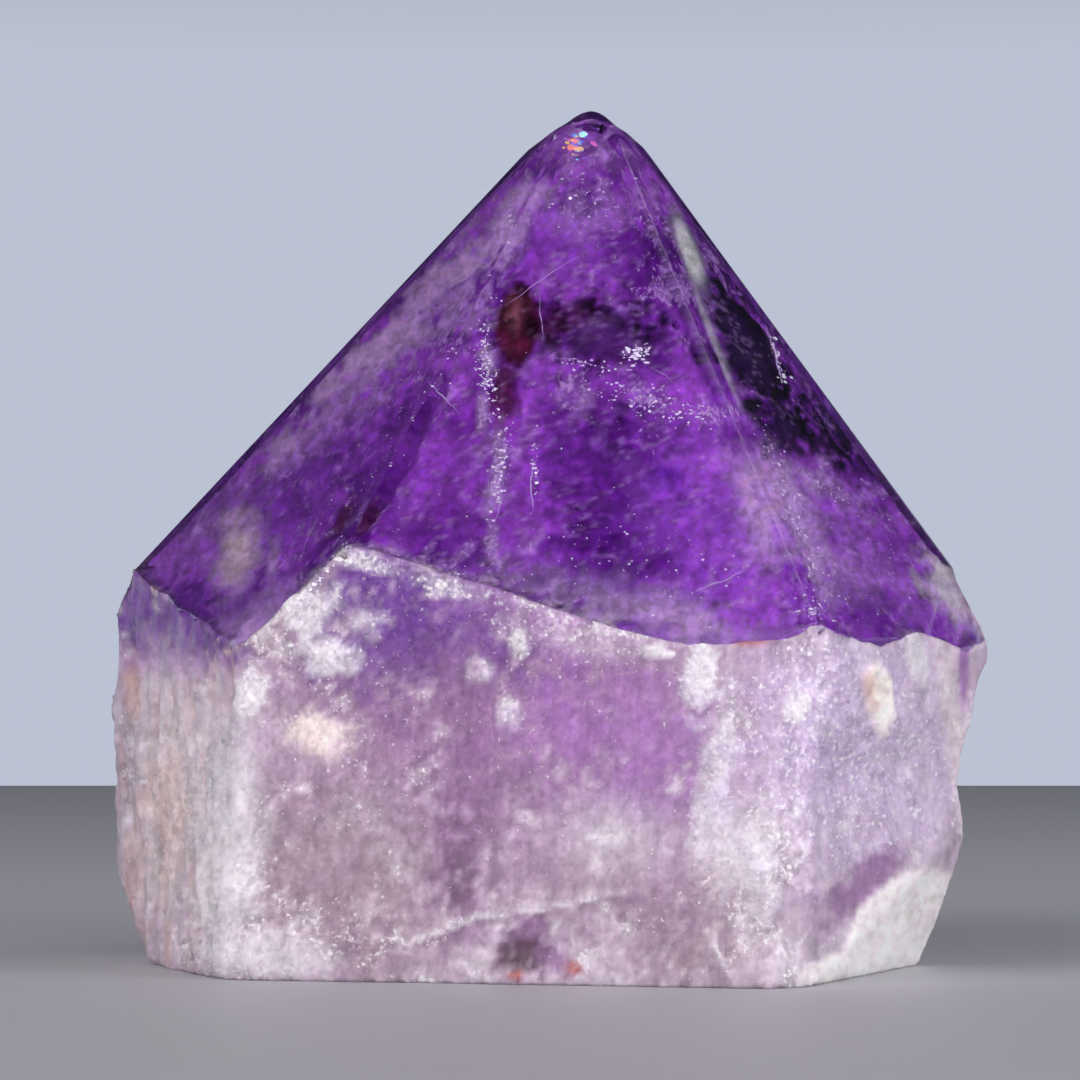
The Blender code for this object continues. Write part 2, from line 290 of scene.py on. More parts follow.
SKIN_MARKS = [Mark(*row) for row in (
    # the middle of the front side
    (0.1, 17.5, 18.05, 10.83, 0, "heather", 0.85, 0.8, 0.7, 0.25),
    # violet below the crease
    (-7.9, 25.6, 8.3, 3.32, -15, "plum", 1, 0.7, 0.9, 0.15),
    (-10.4, 22.9, 5.78, 3.32, 0, "plum", 0.85, 0.7, 0.9, 0.15),
    (1.5, 24.4, 5.78, 2.17, -12, "orchid", 0.7, 0.7, 0.9, 0.35),
    # frost on it
    (-16.8, 25.6, 1.88, 1.59, 20, "white", 0.8, 0.35, 1.1, 0.7, -0.1),
    (-15.1, 22.2, 2.02, 1.16, -20, "white", 0.8, 0.4, 1.2, 0.6, -0.1),
    (-12.8, 24.6, 1.44, 1.01, 0, "white", 0.5, 0.4, 1.2, 0.6, -0.1),
    # frosted spots
    (-20.7, 19.3, 1.08, 1.88, -10, "white", 1, 0.35, 1.1, 0.9, -0.15),
    (-1.4, 23.1, 0.65, 1.16, 0, "white", 1, 0.3, 1, 1, -0.15),
    (-2.1, 18.1, 0.72, 1.01, 0, "white", 0.9, 0.35, 1.2, 1, -0.15),
    (-4.4, 21, 0.87, 0.72, 0, "white", 0.9, 0.35, 1.2, 1, -0.1),
    (-19.7, 8.7, 0.65, 2.45, -6, "white", 0.6, 0.4, 1.4, 1, -0.1),
    (-13.7, 10.2, 2.89, 1.44, 30, "white", 0.3, 0.5, 1.6, 0.8, -0.05),
    # milky band
    (3.7, 23.3, 4.33, 1.16, -12, "milk", 0.8, 0.7, 1, 0.5, -0.1),
    # the warm bloom
    (-15.7, 16.4, 2.31, 1.3, -8, "cream", 0.9, 0.6, 1.1, 0.4, -0.1),
    # dark streaks down the middle
    (-5.6, 13.9, 2.02, 8.66, 0, "mauve", 0.7, 0.7, 1, 0.1),
    (-9.7, 19, 3.32, 3.61, 0, "mauve", 0.28, 0.7, 1.2, 0.2),
    # clear violet patches
    (5.8, 16.4, 6.14, 3.61, -5, "orchid", 0.75, 0.8, 1, 0.1),
    (8.4, 12.8, 3.25, 1.88, 0, "orchid", 0.5, 0.8, 1, 0.1),
    # milky pools
    (5.1, 9.2, 3.47, 2.6, 0, "white", 0.4, 0.8, 0.8, 0.2),
    (14.4, 8.3, 2.45, 2.89, 0, "white", 0.8, 0.8, 0.9, 0.4),
    # smoky patches low down
    (-13.7, 7.4, 6.86, 4.62, 0, "smoke", 0.75, 0.8, 0.9, 0.15),
    (1.5, 6, 5.05, 2.89, 0, "smoke", 0.4, 0.8, 0.9, 0.1),
    (10.2, 1.3, 4.33, 1.73, 0, "smoke", 0.3, 0.8, 0.9, 0.1),
    (-5.9, 8.1, 1.3, 3.61, 0, "mauve", 0.8, 0.8, 0.9, 0.1),
    (-5.7, 7.3, 1.01, 2.45, 0, "umber_stain_and_shade", 0.6, 0.8, 0.9, 0.1),
    # the milky left corner
    (-22.3, 9.9, 1.88, 7.94, 0, "white", 0.9, 0.8, 0.8, 0.3),
    # hollow at the base, painted dark as shade, with painted red glints
    (-0.9, 1.2, 2.6, 1.73, 0, "mauve", 0.9, 0.6, 0.8, 0.1, 0.15),
    (-1.2, 0.8, 1.88, 1.3, 0, "umber_stain_and_shade", 1, 0.5, 0.8, 0, 0.15),
    (1.5, 0.3, 1.88, 0.87, -20, "mauve", 0.8, 0.5, 0.9, 0.1, 0.1),
    (-1.8, -0.8, 0.58, 0.29, 0, "painted_glint", 0.8, 0.6, 0.8, 0.1),
    (2.5, -0.2, 0.65, 0.51, 0, "painted_glint", 1, 0.6, 0.7, 0.1),
    # pale blocks low on the left
    (-20.3, 0.9, 4.48, 1.88, -6, "white", 0.75, 0.5, 0.8, 0.4, -0.15),
    (-22.7, 4.2, 1.73, 2.89, 0, "white", 0.5, 0.6, 0.8, 0.4),
    # frosted vein
    (11.8, 20.8, 1.16, 2.02, -10, "white", 0.9, 0.5, 1, 0.8, -0.15),
    (13.2, 15.7, 0.94, 3.61, -8, "white", 0.75, 0.5, 1, 0.8, -0.2),
    (16.1, 7.4, 1.01, 5.05, -6, "white", 0.6, 0.6, 1, 0.6, -0.2),
    # the right sides
    (21.7, 16.1, 7.22, 7.94, 0, "lavender", 0.8, 0.6, 0.8, 0.55),
    (18.6, 18.4, 0.87, 0.87, 0, "white", 0.9, 0.5, 1, 0.9, -0.1),
    # warm tongue and its stained lip
    (24.3, 19.1, 0.94, 2.74, 8, "cream", 1, 0.3, 0.45, 0.3, -0.35),
    (23.6, 19.7, 0.36, 1.3, 8, "rust", 0.6, 0.6, 0.5, 0.1),
    # streaks by the right rim
    (27.1, 21.5, 0.58, 1.88, 12, "white", 0.8, 0.5, 0.7, 0.4, -0.15),
    (30.6, 21.5, 0.36, 3.18, -3, "orchid", 0.85, 0.5, 0.5, 0, 0.1),
    (30, 16.1, 0.72, 5.78, 8, "cream", 0.45, 0.8, 0.8, 0.2),
    # broken corner
    (23.2, 5.4, 3.32, 1.44, 42, "mauve", 0.85, 0.4, 0.5, 0.1, 0.1),
    (26.2, 2.9, 4.77, 3.03, 42, "shell", 0.95, 0.12, 0.12, 0),
    (22.2, -0.2, 3.75, 1.16, 12, "shell", 0.95, 0.2, 0.15, 0),
    # iron stains on the left
    (-29.2, 19.7, 0.58, 2.45, 0, "rust", 0.6, 0.6, 0.8, 0.1),
    (-26.6, 11.7, 1.01, 4.62, 0, "rust", 0.4, 0.7, 0.9, 0.1),
    (-29, 7.4, 0.72, 4.33, -6, "rust", 0.35, 0.7, 0.9, 0.1),
    (-27.2, 7.9, 0.22, 0.79, 0, "umber_stain_and_shade", 0.7, 0.6, 0.6, 0, 0.1),
    # a chip at the crease
    (8.5, 22.3, 1.23, 0.43, -8, "white", 1, 0.3, 0.4, 0.3, -0.4),
    # fracture lines
    (-7.2, 2.4, 3.32, 0.19, 21, "white", 0.7, 0.8, 0.5, 0.5, -0.15),
    (-1.7, 3.8, 2.74, 0.19, 8, "white", 0.6, 0.8, 0.5, 0.5, -0.15),
    (3.3, 4.7, 2.74, 0.19, 12, "white", 0.6, 0.8, 0.5, 0.5, -0.15),
    (12.8, 0.9, 2.02, 0.19, -63, "white", 0.6, 0.8, 0.5, 0.5, -0.15),
    # a painted highlight along the front right corner
    (11.6, 11.7, 0.43, 4.33, -6, "white", 0.5, 0.8, 0.9, 0.5, -0.1),
    # a painted red glint under the crease
    (15.1, 23, 1.44, 0.22, 3, "painted_glint", 0.8, 0.5, 0.6, 0.2, -0.1),
    # violet over the left side
    (-26.5, 21.8, 4.33, 1.16, -6, "orchid", 0.65, 0.7, 1, 0.2),
    (-26.5, 24.6, 4.77, 2.6, -14, "plum", 1, 0.35, 0.7, 0.05),
    # frost under the crease
    (-12.8, 28.9, 2.17, 0.36, -16, "white", 0.5, 0.7, 1.6, 0.9, -0.05),
    (-6.4, 27, 2.17, 0.51, -18, "white", 0.45, 0.7, 1.8, 0.9, -0.05),
    (0.4, 25.3, 2.45, 0.51, -18, "white", 0.5, 0.7, 1.8, 0.9, -0.05),
    (7.3, 23.6, 2.17, 0.43, -12, "white", 0.4, 0.7, 1.8, 0.9, -0.05),
    # warm haze over the left side
    (-26.3, 12.5, 2.31, 8.66, 0, "cream", 0.45, 0.9, 0.8, 0.3),
)]


class Crack(NamedTuple):
    """A bright line inside the stone: its path in the front view, thickness and depth, in millimetres."""

    path: tuple
    thick: float
    depth: float


class Cluster(NamedTuple):
    """A patch of flakes inside the stone: its middle and half size in the front view, and its flakes."""

    x: float
    z: float
    wide: float
    tall: float
    turn: float
    count: int
    size: float
    rainbow: bool = False


CRACKS = [Crack(*row) for row in (
    # beside the red-brown window
    (((-2.8, 47), (0.4, 49.5), (3.8, 51.5)), 0.03, 0.6),
    (((0.1, 48.6), (0.1, 46.5), (0.3, 44.4)), 0.04, 0.6),
    # on the left facet
    (((-8.1, 42.1), (-6.8, 40.7), (-5.6, 39.4)), 0.06, 0.5),
    (((-14.2, 40.5), (-12.2, 41.3), (-10.3, 41.7)), 0.05, 0.5),
    # on the front facet
    (((-0.4, 36.4), (-0.6, 34.4), (-0.4, 32.5)), 0.09, 0.6),
    (((-3, 35.6), (-2.7, 33.4), (-3.3, 31.4)), 0.05, 0.5),
    # low on its right
    (((11.8, 27), (13.5, 27.6), (15, 28.4)), 0.06, 0.5),
    (((10.8, 26.5), (12.7, 27.4), (14, 27.7)), 0.04, 0.5),
    # at the right corner
    (((26.3, 29.6), (27.1, 28.3), (27.6, 26.9)), 0.06, 0.5),
    # in the dark window on the right
    (((16.5, 45.7), (17, 44.1), (17.5, 41.9)), 0.16, 0.5),
    # across the front facet
    (((0.2, 43.7), (2.6, 43.4), (5.3, 42.8)), 0.03, 0.6),
    # low on the left
    (((-17.1, 29.4), (-16.5, 30.9), (-15.6, 32.5)), 0.05, 0.5),
    (((-21.2, 23.3), (-20.4, 24.6), (-19.9, 25.7)), 0.04, 0.3),
    # beside the fingerprint
    (((7.9, 42.9), (8.9, 42.5), (9.7, 41.8)), 0.04, 0.5),
)]

CRACK_STEPS = 6
CRACK_WOBBLE = 0.05  # millimetres
# hues of the painted rainbow glints at the tip
RAINBOW_HUES = (0.02, 0.52, 0.9, 0.66, 0.12)
FLAKE_DEPTHS = (0.25, 0.55)  # millimetres
FLAKE_SIDES = 5

CLUSTERS = [Cluster(*row) for row in (
    # at the tip, first the rainbow flakes, whose glints are painted glow
    (2.7, 59, 0.79, 0.94, 0, 44, 0.22, True),
    (3.3, 54.7, 4.33, 2.45, 0, 46, 0.09),
    (1, 59.5, 0.29, 0.29, 0, 5, 0.14),
    # the fingerprint
    (7.1, 43.8, 1.01, 0.65, 20, 60, 0.15),
    # along the sparkling vein
    (-3.8, 42.6, 0.72, 3.32, 6, 190, 0.085),
    (-2.2, 53.5, 0.51, 1.59, -18, 50, 0.1),
    (-2.8, 35.6, 0.58, 4.33, -8, 90, 0.1),
    (-0.3, 35.7, 0.29, 1.59, 0, 40, 0.09),
    # in the dark window on the right
    (17, 44.2, 0.29, 1.16, 18, 40, 0.13),
    (17.5, 42.5, 0.29, 0.72, 10, 26, 0.14),
    # in the band of bubbles
    (8.4, 40.3, 5.05, 1.16, -18, 160, 0.09),
    (2.7, 43.3, 2.74, 0.36, -8, 46, 0.07),
    # at the right ridge
    (18.1, 32.7, 0.87, 7.94, 18, 150, 0.1),
    (20.6, 34.3, 2.89, 0.65, -32, 60, 0.09),
    # fine dust
    (5.8, 29.1, 10.83, 4.33, -8, 120, 0.07),
    (-10, 38.5, 10.83, 1.73, 55, 110, 0.07),
    # crumbs along the crease
    (-15.7, 28.2, 2.74, 0.29, 47, 60, 0.1),
    (-7.9, 28.3, 5.78, 0.36, -16, 50, 0.09),
    (19.9, 25.5, 1.88, 1.16, 30, 50, 0.1),
    # fine dust on the right
    (25.3, 29.1, 4.33, 4.33, -30, 60, 0.07),
)]


def deselect_all():
    for obj in bpy.context.view_layer.objects:
        obj.select_set(False)


def make_active(obj):
    deselect_all()
    obj.select_set(True)
    bpy.context.view_layer.objects.active = obj


def finish_modifier(piece, kind, **settings):
    """Adds a modifier with its settings and applies it."""
    make_active(piece)
    modifier = piece.modifiers.new(kind.lower(), kind)
    for name, value in settings.items():
        setattr(modifier, name, value)
    bpy.ops.object.modifier_apply(modifier=modifier.name)


def belongs(piece):
    """Gives a finished piece the body that it rides on."""
    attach(piece, BODY)


def copy_of_solid(name):
    """A merged copy of the CAD solid."""
    piece = bpy.data.objects.new(name, frame["nodes"][NODE].data.copy())
    bpy.context.scene.collection.objects.link(piece)
    piece.data.materials.clear()
    make_active(piece)
    bpy.ops.object.mode_set(mode="EDIT")
    bpy.ops.mesh.select_all(action="SELECT")
    bpy.ops.mesh.remove_doubles(threshold=0.00001)
    bpy.ops.object.mode_set(mode="OBJECT")
    return piece


def ground_facets():
    """The planes of the six polished facets, read from the CAD solid: a row of normal and offset each."""
    groups = []
    for face in frame["nodes"][NODE].data.polygons:
        if face.normal.z < FACET_RISE or face.area < SMALLEST_FACE:
            continue
        for group in groups:
            if face.normal.dot(group[0]) > SAME_PLANE:
                group[1] += face.area
                break
        else:
            groups.append([face.normal.copy(), face.area, face.normal.dot(face.center)])
    groups.sort(key=lambda group: -group[1])
    return np.array([[*normal, offset] for normal, _, offset in groups[:FACET_COUNT]])


def read_vectors(mesh, name):
    """A vector that every point has, such as its place or its normal, as rows."""
    flat = np.empty(len(mesh.vertices) * 3, np.float32)
    mesh.vertices.foreach_get(name, flat)
    return flat.reshape(-1, 3).astype(float)


def set_points(mesh, points):
    mesh.vertices.foreach_set("co", points.astype(np.float32).ravel())
    mesh.update()


def keep(mesh, name, kind, field, values):
    """Stores a value for each point, which the materials read by name."""
    layer = mesh.attributes.new(name, kind, "POINT")
    layer.data.foreach_set(field, values.astype(np.float32).ravel())


def keep_colour(mesh, name, colours):
    full = np.ones((len(colours), 4))
    full[:, :3] = np.clip(colours, 0.0, 1.0)
    keep(mesh, name, "FLOAT_COLOR", "color", full)


def smooth_step(low, high, value):
    """0 below low, 1 above high, and a smooth rise between them."""
    part = np.clip((value - low) / (high - low), 0.0, 1.0)
    return part * part * (3.0 - 2.0 * part)


def blend(first, second, share):
    return first + (second - first) * share


def tinted(colours, tint, share):
    """One colour or many, blended towards a tint by a share for each point."""
    return blend(colours, np.array(tint), share[:, None])


def clouds(places, size, octaves, shift=0.0):
    """Cloudy noise of about -1 to 1 at places and of a size given in millimetres."""
    scaled = places / size + shift
    return np.array([noise.fractal(Vector(place), 0.8, 2.0, octaves) for place in scaled]) * 1.4


def front_sheet(points):
    """Where each point is seen from the front: millimetres across and up on the plane through the axis."""
    eye = np.array(EYE)
    reach = -eye[1] / (points[:, 1] - eye[1])
    return (
        (eye[0] + (points[:, 0] - eye[0]) * reach) / MM,
        (eye[2] + (points[:, 2] - eye[2]) * reach) / MM,
    )


def unit_rows(rows):
    return rows / np.linalg.norm(rows, axis=1)[:, None]


def bend(sight, normal):
    """How sight runs on inside the quartz, below a surface of this normal."""
    ratio = 1.0 / QUARTZ_IOR
    cosine = -np.sum(normal * sight, axis=-1, keepdims=True)
    return sight * ratio + normal * (ratio * cosine - np.sqrt(1.0 - ratio**2 * (1.0 - cosine**2)))


def sight_inside(points, facets):
    """For points inside: the way of sight through the quartz, where it enters, and how far it runs on."""
    sight = unit_rows(points - np.array(EYE))
    heights = points @ facets[:, :3].T - facets[:, 3]
    faces_eye = sight @ facets[:, :3].T < -0.1
    weights = np.where(faces_eye, np.exp(np.clip(heights / RIDGE_BLEND, -60.0, 60.0)), 0.0) + 1e-30
    front_facets = [number for number, facet in enumerate(facets) if facet[1] < 0.1]
    ways = unit_rows(sum(weights[:, [number]] * bend(sight, facets[number, :3]) for number in front_facets))
    nearest = np.where(faces_eye, heights, -1.0).argmax(axis=1)
    rows = np.arange(len(points))
    back = heights[rows, nearest] / np.sum(ways * facets[nearest, :3], axis=1)
    enter = points - ways * back[:, None]
    speed = ways @ facets[:, :3].T
    room = np.where(speed > 0.01, -heights / np.maximum(speed, 0.01), 1.0).min(axis=1)
    return ways, enter, np.maximum(room, 0.0)


class Look:
    """The colour, frost and depth of every point of a surface while it is being worked out."""

    def __init__(self, colours, frost, depth):
        self.colours = colours
        self.frost = frost
        self.depth = depth

    def tint(self, colour, share):
        self.colours = tinted(self.colours, colour, share)

    def lay(self, marks, palette, sheet, front, ragged):
        """Lays soft-edged patches over the surface, with edges broken up by noise."""
        x, z = sheet
        for mark in marks:
            lean = math.radians(mark.turn)
            across = (x - mark.x) * math.cos(lean) + (z - mark.z) * math.sin(lean)
            up = (z - mark.z) * math.cos(lean) - (x - mark.x) * math.sin(lean)
            reach = np.hypot(across / mark.wide, up / mark.tall) + mark.rough * ragged
            share = (1.0 - smooth_step(1.0 - mark.soft, 1.0 + mark.soft, reach)) * front
            self.depth = self.depth + share * mark.depth
            self.frost = blend(self.frost, mark.frost, share)
            self.tint(palette[mark.colour], share * mark.strength)

    def over(self, other, share):
        """This look where the share is 1 and the other where it is 0."""
        self.colours = blend(other.colours, self.colours, share[:, None])
        self.frost = blend(other.frost, self.frost, share)
        self.depth = blend(other.depth, self.depth, share)


def along(places, turn, longer):
    """Places squeezed along a leaning line, so that noise on them is drawn out along it."""
    lean = math.radians(turn)
    run = places[:, 0] * math.cos(lean) + places[:, 2] * math.sin(lean)
    rise = places[:, 2] * math.cos(lean) - places[:, 0] * math.sin(lean)
    return np.stack([run / longer, places[:, 1], rise], axis=1)


def noise_places(points, sheet, front):
    """Places for noise in millimetres, drawn towards the front view so that steep faces don't squeeze it."""
    flat = np.stack([sheet[0], np.zeros(len(points)), sheet[1]], axis=1)
    return blend(points / MM, flat, (FRONT_SHARE * front)[:, None])


def under_the_facets(points, facets):
    """1 for points on the polished facets, their worn ridges and the tip, 0 on the natural sides."""
    heights = np.sort(points @ facets[:, :3].T - facets[:, 3], axis=1)[:, ::-1] / MM
    on_facet = smooth_step(*ON_FACET, heights[:, 0])
    on_ridge = smooth_step(*BY_NEXT_FACET, heights[:, 1]) * smooth_step(*ON_WORN_RIDGE, heights[:, 0])
    at_tip = smooth_step(TIP_FOOT, TIP_FOOT + 4.0, points[:, 2] / MM)
    return np.maximum.reduce([on_facet, on_ridge, at_tip])


def crease_points(facets):
    """Closely spaced points along the edges where the polished facets meet the natural sides."""
    solid = copy_of_solid("crease_guide")
    mesh = solid.data
    height = (read_vectors(mesh, "co") @ facets[:, :3].T - facets[:, 3]) / MM
    worn = np.sort(height, axis=1)[:, -2] > RIDGE_WEAR
    kinds_at = {}
    for face in mesh.polygons:
        corners = list(face.vertices)
        lowest = height[corners].min(axis=0)
        same_way = facets[:, :3] @ np.array(face.normal) > SAME_WAY
        flat = (lowest > PART_OF_FACET) | same_way & (lowest > PARALLEL_TO_FACET)
        on_facet = flat.any() or worn[corners].all()
        for edge in face.edge_keys:
            kinds_at.setdefault(edge, []).append(on_facet)
    tree_points = []
    for (first, last), kinds in kinds_at.items():
        start, end = mesh.vertices[first].co, mesh.vertices[last].co
        if sorted(kinds) == [False, True] and start.z < TIP_FOOT * MM:
            steps = max(int((end - start).length / CREASE_STEP), 1)
            tree_points += [start.lerp(end, step / steps) for step in range(steps + 1)]
    bpy.data.objects.remove(solid)
    tree = KDTree(len(tree_points))
    for number, point in enumerate(tree_points):
        tree.insert(point, number)
    tree.balance()
    return tree


def snap_to_crease(piece, facets):
    """Moves the nearest points onto the facets' lower edges. Returns how far each point is from them."""
    points = read_vectors(piece.data, "co")
    crease = crease_points(facets)
    found = [crease.find(point) for point in points]
    gaps = np.array([hit[2] for hit in found])
    for number in np.flatnonzero(gaps < CREASE_SNAP):
        points[number] = found[number][0]
    set_points(piece.data, points)
    return gaps


def round_ridges(piece, under, gaps):
    """Rounds the ridges under the facets, so that the clouds run on from one facet to the next."""
    group = piece.vertex_groups.new(name="ridges")
    group.add(np.flatnonzero((under > 0.5) & (gaps > RIDGE_CLEARANCE)).tolist(), 1.0, "REPLACE")
    finish_modifier(piece, "SMOOTH", factor=0.5, iterations=60, vertex_group=group.name)
    piece.vertex_groups.clear()


def three_clouds(places):
    """Broad, coarse and fine clouds."""
    return clouds(places, 9.0, 3, 5.0), clouds(places, 3.0, 3, 11.0), clouds(places, 0.9, 3, 31.0)


def inner_look(places, sheet, front, palette):
    """The clouds under the facets."""
    broad, coarse, fine = three_clouds(places)
    wisps = clouds(along(places, 50.0, 1.7), 1.6, 4, 57.0)
    dark_share = smooth_step(-0.7, 0.7, broad + 0.7 * coarse)
    look = Look(
        tinted(palette["violet"], palette["deep"], dark_share),
        0.7 * smooth_step(0.0, 0.8, wisps + 0.5 * broad),
        2.2 + 0.9 * broad - 0.4 * coarse - 0.12 * fine,
    )
    look.tint(palette["lilac"], 0.4 * smooth_step(0.2, 0.9, wisps))
    webs = smooth_step(0.90, 1.0, 1.0 - np.abs(clouds(places, 3.2, 4, 143.0)))
    look.lay(CLOUD_MARKS, palette, sheet, front, 0.5 * coarse + 0.45 * fine)
    look.colours = look.colours * (1.0 + 0.32 * np.clip(fine, -1.0, 1.2))[:, None]
    look.tint(palette["lilac"], 0.4 * webs)
    look.frost = look.frost + 0.3 * webs
    look.depth = look.depth - 0.3 * webs
    return look


def outer_look(places, normals, sheet, front, palette):
    """The natural sides and the base."""
    broad, coarse, fine = three_clouds(places)
    ribs = clouds(places / np.array((1.0, 1.0, 7.0)), 0.8, 2, 77.0)
    streaks = clouds(places / np.array((1.0, 1.0, 3.5)), 1.5, 4, 91.0)
    webs = 1.0 - np.abs(clouds(places, 4.0, 4, 43.0))
    smoky = 0.7 * smooth_step(-0.3, 0.8, broad + 0.3 * coarse)
    look = Look(
        tinted(palette["milk"], palette["smoke"], smoky),
        0.7 * smooth_step(0.0, 0.8, coarse + 0.6 * broad),
        np.zeros(len(places)),
    )
    look.tint(palette["white"], 0.5 * smooth_step(0.0, 1.0, 0.3 * fine + 0.8 * coarse))
    look.tint(palette["mauve"], 0.28 * smooth_step(0.2, 1.0, -streaks))
    look.tint(palette["white"], 0.35 * smooth_step(0.93, 1.0, webs))
    left = smooth_step(0.75, 0.95, -normals[:, 0])
    look.tint(palette["rust"], 0.35 * left * smooth_step(-0.1, 0.7, ribs))
    look.lay(SKIN_MARKS, palette, sheet, front, 0.5 * coarse + 0.45 * fine)
    shade = 1.0 + 0.10 * np.clip(streaks, -1.0, 1.0) + 0.12 * np.clip(fine, -1.0, 1.0)
    shade += 0.12 * smooth_step(0.9, 1.0, webs)
    look.colours = look.colours * shade[:, None]
    look.depth += 0.10 * fine * look.frost + left * 0.22 * ribs + 0.05 * coarse + 0.05 * streaks
    return look


def shape_cloudy_body(piece, palette, least_depth):
    """Sinks the clouds under the facets, gives the natural sides their relief, and colours both."""
    mesh = piece.data
    facets = ground_facets()
    gaps = snap_to_crease(piece, facets)
    under = under_the_facets(read_vectors(mesh, "co"), facets) * (gaps >= CREASE_SNAP)
    round_ridges(piece, under, gaps)
    points = read_vectors(mesh, "co")
    normals = read_vectors(mesh, "normal")
    front = 1.0 - smooth_step(*FRONT_FACETS, normals[:, 1])
    side_front = 1.0 - smooth_step(*FRONT_SIDES, normals[:, 1])
    towards = unit_rows(np.array(HEART) - points)
    level = smooth_step(*BASE_BAND, points[:, 2])
    towards[:, 2] *= level

    sunk = points + towards * least_depth
    ways, enter, room = sight_inside(sunk, facets)
    inner_sheet = front_sheet(enter)
    outer_sheet = front_sheet(points)
    inner_places = noise_places(points, inner_sheet, front)
    outer_places = noise_places(points, outer_sheet, side_front)
    inner = inner_look(inner_places, inner_sheet, front, palette)
    outer = outer_look(outer_places, normals, outer_sheet, side_front, palette)
    further = np.minimum(np.clip(inner.depth, 0.0, DEEPEST) * MM, MOST_OF_ROOM * room)
    ways = unit_rows(blend(towards, ways, front[:, None]))
    sunk += ways * further[:, None]
    skin = points + towards * (outer.depth * level * MM)[:, None]
    set_points(mesh, blend(skin, sunk, under[:, None]))
    inner.over(outer, under)
    keep_colour(mesh, "stone_colour", inner.colours)
    keep(mesh, "frost", "FLOAT", "value", np.clip(inner.frost, 0.0, 1.0))
    grain_places = blend(outer_places, inner_places, under[:, None]) * MM
    keep(mesh, "grain_place", "FLOAT_VECTOR", "vector", grain_places)
    return under


def new_material(name):
    material = bpy.data.materials.new(name)
    material.use_nodes = True
    return material, material.node_tree, material.node_tree.nodes["Principled BSDF"]


def feed(tree, node, inputs):
    """Gives inputs, by name or number, a plain value or the output that feeds them."""
    for key, value in inputs.items():
        if isinstance(value, bpy.types.NodeSocket):
            tree.links.new(value, node.inputs[key])
        else:
            node.inputs[key].default_value = value


def add_node(tree, kind, settings=None, inputs=None):
    """A new shader node with its settings, and inputs as feed takes them."""
    node = tree.nodes.new(kind)
    for name, value in (settings or {}).items():
        setattr(node, name, value)
    feed(tree, node, inputs or {})
    return node


def ramp(tree, value, low, high, start=0.0, end=1.0):
    """An output that runs from start to end while a value runs from low to high."""
    ends = {"From Min": low, "From Max": high, "To Min": start, "To Max": end}
    return add_node(tree, "ShaderNodeMapRange", None, {"Value": value, **ends}).outputs["Result"]


def mixed(tree, share, first, second, kind="MIX"):
    """An output with two colours mixed by a share."""
    settings = {"data_type": "RGBA", "blend_type": kind}
    return add_node(tree, "ShaderNodeMix", settings, {"Factor": share, 6: first, 7: second}).outputs[2]


def maths(tree, kind, operation, *given):
    """The output of a maths node that is given these inputs in order."""
    return add_node(tree, kind, {"operation": operation}, dict(enumerate(given))).outputs[0]


def noise_value(tree, where, scale, detail, roughness=0.5):
    """An output with noise of a scale per metre."""
    grain = {"Vector": where, "Scale": scale, "Detail": detail, "Roughness": roughness}
    return add_node(tree, "ShaderNodeTexNoise", None, grain).outputs["Fac"]


def frost_group():
    """A node group that mottles a colour, strews pale grains over it and tilts their normals."""
    group = bpy.data.node_groups.new("frosty grain", "ShaderNodeTree")
    for name in ("Colour", "Grain colour"):
        group.interface.new_socket(name, in_out="INPUT", socket_type="NodeSocketColor")
    for name in ("Frost", "Mottling", "Tilt", "Streaks"):
        group.interface.new_socket(name, in_out="INPUT", socket_type="NodeSocketFloat")
    group.interface.new_socket("Colour", in_out="OUTPUT", socket_type="NodeSocketColor")
    group.interface.new_socket("Normal", in_out="OUTPUT", socket_type="NodeSocketVector")
    given = group.nodes.new("NodeGroupInput").outputs
    where = add_node(group, "ShaderNodeAttribute", {"attribute_name": "grain_place"}).outputs["Vector"]

    # lighter and darker patches
    mottle = ramp(group, noise_value(group, where, 1300.0, 3.0, 0.65), 0.32, 0.68, 0.35, 1.55)
    grey = add_node(group, "ShaderNodeCombineXYZ", None, {0: mottle, 1: mottle, 2: mottle}).outputs[0]
    mottled = mixed(group, given["Mottling"], given["Colour"], grey, "MULTIPLY")

    # upright streaks
    tall = maths(group, "ShaderNodeVectorMath", "MULTIPLY", where, (1.0, 1.0, 0.2))
    streak = ramp(group, noise_value(group, tall, 2400.0, 1.0), 0.3, 0.7)
    streaked = mixed(group, given["Streaks"], mottled, streak, "OVERLAY")

    # pale specks, more of them where there is more frost
    specks = noise_value(group, where, 3000.0, 2.0)
    chance = maths(group, "ShaderNodeMath", "MULTIPLY_ADD", given["Frost"], 0.30, specks)
    share = ramp(group, chance, 0.72, 0.84, 0.0, 0.85)
    pale = mixed(group, share, streaked, given["Grain colour"])

    # grains that each lean their own way
    grains = add_node(group, "ShaderNodeTexVoronoi", None, {"Vector": where, "Scale": 3400.0})
    way = maths(group, "ShaderNodeVectorMath", "SUBTRACT", grains.outputs["Color"], (0.5, 0.5, 0.5))
    rough = maths(group, "ShaderNodeMath", "MULTIPLY_ADD", given["Frost"], 0.6, 0.12)
    much = maths(group, "ShaderNodeMath", "MULTIPLY", rough, given["Tilt"])
    lean = maths(group, "ShaderNodeVectorMath", "MULTIPLY", way, much)
    normal = add_node(group, "ShaderNodeNewGeometry").outputs["Normal"]
    tilted = maths(group, "ShaderNodeVectorMath", "ADD", normal, lean)
    unit = maths(group, "ShaderNodeVectorMath", "NORMALIZE", tilted)
    feed(group, group.nodes.new("NodeGroupOutput"), {"Colour": pale, "Normal": unit})
    return group


